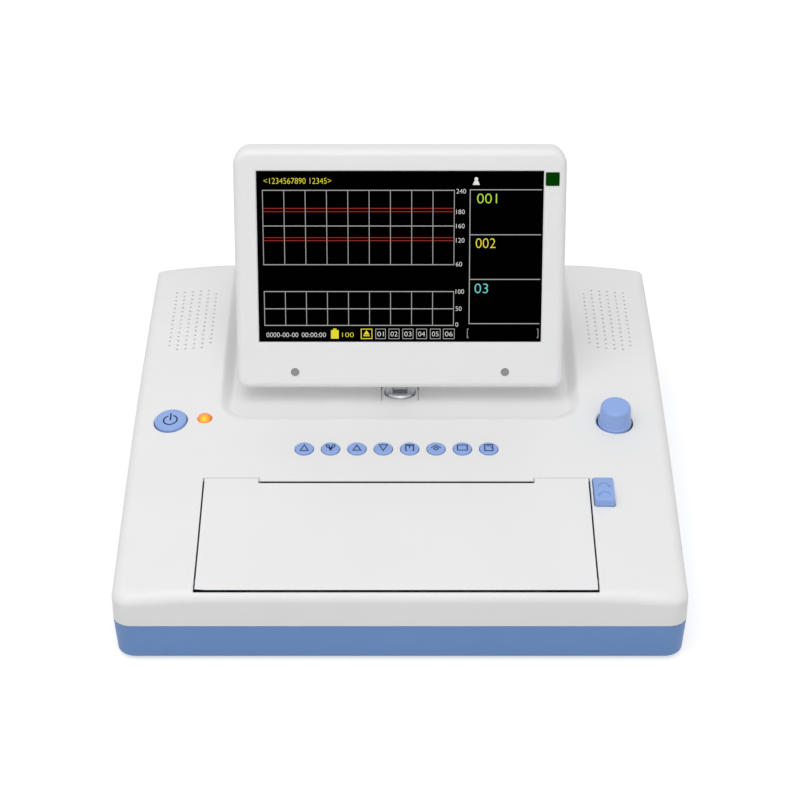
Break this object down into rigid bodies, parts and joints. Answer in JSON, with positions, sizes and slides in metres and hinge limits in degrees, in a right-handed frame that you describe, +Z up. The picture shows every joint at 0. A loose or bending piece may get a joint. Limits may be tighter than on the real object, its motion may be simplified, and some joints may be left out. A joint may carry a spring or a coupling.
{
  "type": "cardiotocograph",
  "caption": "Desktop fetal monitor: blue base, white crowned housing, tilting screen over a recess, strip-chart printer under a hinged door, round keys and a dial.",
  "frame": {"origin": "under the middle of the case, on the surface that the feet stand on", "axes": "+X to the right of someone facing the screen, +Y to the back, +Z up"},
  "size_m": [0.295, 0.305, 0.2026],
  "materials": {
    "blue_case_plastic": "mid blue, matt",
    "blue_key_plastic": "lighter blue, satin",
    "dark_plastic": "near black",
    "dark_rubber": "matt black",
    "green_board": "green board with dark chips",
    "green_lens": "dark green, gloss",
    "grey_plastic": "mid grey",
    "light_grey_plastic": "light grey",
    "orange_lens": "orange, clear gloss",
    "plain_aluminium": "satin",
    "plain_brass": "plain",
    "plain_steel": "plain",
    "screen_glass": "black, gloss",
    "white_plastic": "white, fine matt grain"
  },
  "bodies": {
    "chassis": {"base_housing": "blue_case_plastic", "battery_pack": "dark_plastic", "case_screw_1": "plain_steel", "case_screw_2": "plain_steel", "case_screw_3": "plain_steel", "case_screw_4": "plain_steel", "control_board": "green_board", "data_port": "plain_steel", "dial_encoder": "grey_plastic", "door_pin_left": "plain_steel", "door_pin_right": "plain_steel", "earth_post": "plain_brass", "foot_front_left": "dark_rubber", "foot_front_right": "dark_rubber", "foot_rear_left": "dark_rubber", "foot_rear_right": "dark_rubber", "hinge_pin": "plain_steel", "hinge_post": "plain_steel", "latch_pin": "plain_steel", "main_board": "green_board", "paper_tray": "light_grey_plastic", "power_inlet": "dark_plastic", "power_module": "grey_plastic", "print_head": "plain_aluminium", "printer_frame": "plain_steel", "probe_socket_1": "grey_plastic", "probe_socket_2": "grey_plastic", "probe_socket_3": "grey_plastic", "probe_socket_4": "grey_plastic", "speaker_left": "dark_plastic", "speaker_right": "dark_plastic", "status_lamp": "orange_lens", "stepper_motor": "plain_steel", "top_housing": "white_plastic"},
    "display": {"display_bezel": "white_plastic", "display_cover": "white_plastic", "lcd_panel": "screen_glass", "display_board": "green_board", "screw_cap_left": "grey_plastic", "screw_cap_right": "grey_plastic", "indicator_lens": "green_lens", "hinge_arm": "plain_steel"},
    "door": {"printer_door": "white_plastic"},
    "platen": {"platen_roller": "dark_rubber"},
    "idler": {"idler_gear": "light_grey_plastic"},
    "pinion": {"motor_pinion": "plain_brass"},
    "release": {"release_button": "blue_key_plastic"},
    "latch": {"latch_lever": "plain_steel"},
    "power": {"power_button": "blue_key_plastic"},
    "dial_push": {"dial_shaft": "plain_steel"},
    "dial": {"dial_knob": "blue_key_plastic"},
    "key_1_cap": {"key_1": "blue_key_plastic"},
    "key_2_cap": {"key_2": "blue_key_plastic"},
    "key_3_cap": {"key_3": "blue_key_plastic"},
    "key_4_cap": {"key_4": "blue_key_plastic"},
    "key_5_cap": {"key_5": "blue_key_plastic"},
    "key_6_cap": {"key_6": "blue_key_plastic"},
    "key_7_cap": {"key_7": "blue_key_plastic"},
    "key_8_cap": {"key_8": "blue_key_plastic"}
  },
  "joints": [
    {"name": "display_tilt", "type": "hinge", "parent": "chassis", "child": "display", "pos_m": [0, 0.015, 0.0678], "axis": [1, 0, 0], "range_deg": [-72.4, 14.1]},
    {"name": "door_hinge", "type": "hinge", "parent": "chassis", "child": "door", "pos_m": [-0.0019, -0.132, 0.0355], "axis": [1, 0, 0], "range_deg": [0, 90]},
    {"name": "platen_spin", "type": "hinge", "parent": "door", "child": "platen", "pos_m": [-0.0019, -0.0776, 0.0455], "axis": [1, 0, 0], "continuous": true},
    {"name": "idler_spin", "type": "hinge", "parent": "chassis", "child": "idler", "pos_m": [-0.0869, -0.07469, 0.02967], "axis": [1, 0, 0], "continuous": true},
    {"name": "pinion_spin", "type": "hinge", "parent": "chassis", "child": "pinion", "pos_m": [-0.0869, -0.06636, 0.0178], "axis": [1, 0, 0], "continuous": true},
    {"name": "release_press", "type": "slide", "parent": "chassis", "child": "release", "axis": [0, 0.1801, -0.9837], "range_m": [0, 0.002], "stiffness_N_per_m": 250, "springref_m": -0.001},
    {"name": "latch_turn", "type": "hinge", "parent": "chassis", "child": "latch", "pos_m": [0.096, -0.0782, 0.03999], "axis": [0, 1, 0], "range_deg": [0, 12]},
    {"name": "power_press", "type": "slide", "parent": "chassis", "child": "power", "axis": [0.1299, 0.1475, -0.9805], "range_m": [0, 0.001], "stiffness_N_per_m": 300, "springref_m": -0.001},
    {"name": "key_1_press", "type": "slide", "parent": "chassis", "child": "key_1_cap", "axis": [0, 0.1487, -0.9889], "range_m": [0, 0.0008], "stiffness_N_per_m": 300, "springref_m": -0.001},
    {"name": "key_2_press", "type": "slide", "parent": "chassis", "child": "key_2_cap", "axis": [0, 0.1487, -0.9889], "range_m": [0, 0.0008], "stiffness_N_per_m": 300, "springref_m": -0.001},
    {"name": "key_3_press", "type": "slide", "parent": "chassis", "child": "key_3_cap", "axis": [0, 0.1487, -0.9889], "range_m": [0, 0.0008], "stiffness_N_per_m": 300, "springref_m": -0.001},
    {"name": "key_4_press", "type": "slide", "parent": "chassis", "child": "key_4_cap", "axis": [0, 0.1487, -0.9889], "range_m": [0, 0.0008], "stiffness_N_per_m": 300, "springref_m": -0.001},
    {"name": "key_5_press", "type": "slide", "parent": "chassis", "child": "key_5_cap", "axis": [0, 0.1487, -0.9889], "range_m": [0, 0.0008], "stiffness_N_per_m": 300, "springref_m": -0.001},
    {"name": "key_6_press", "type": "slide", "parent": "chassis", "child": "key_6_cap", "axis": [0, 0.1487, -0.9889], "range_m": [0, 0.0008], "stiffness_N_per_m": 300, "springref_m": -0.001},
    {"name": "key_7_press", "type": "slide", "parent": "chassis", "child": "key_7_cap", "axis": [0, 0.1487, -0.9889], "range_m": [0, 0.0008], "stiffness_N_per_m": 300, "springref_m": -0.001},
    {"name": "key_8_press", "type": "slide", "parent": "chassis", "child": "key_8_cap", "axis": [0, 0.1487, -0.9889], "range_m": [0, 0.0008], "stiffness_N_per_m": 300, "springref_m": -0.001},
    {"name": "dial_press", "type": "slide", "parent": "chassis", "child": "dial_push", "axis": [0, 0.1487, -0.9889], "range_m": [0, 0.0008], "stiffness_N_per_m": 400, "springref_m": -0.001},
    {"name": "dial_turn", "type": "hinge", "parent": "dial_push", "child": "dial", "pos_m": [0.1183, -0.0214, 0.0641], "axis": [0, -0.1487, 0.9889], "continuous": true}
  ],
  "couplings": [
    {"joint": "idler_spin", "follows": "platen_spin", "ratio": -0.66667},
    {"joint": "pinion_spin", "follows": "platen_spin", "ratio": 1.3333},
    {"joint": "latch_turn", "follows": "release_press", "rad_per_m": 100}
  ]
}
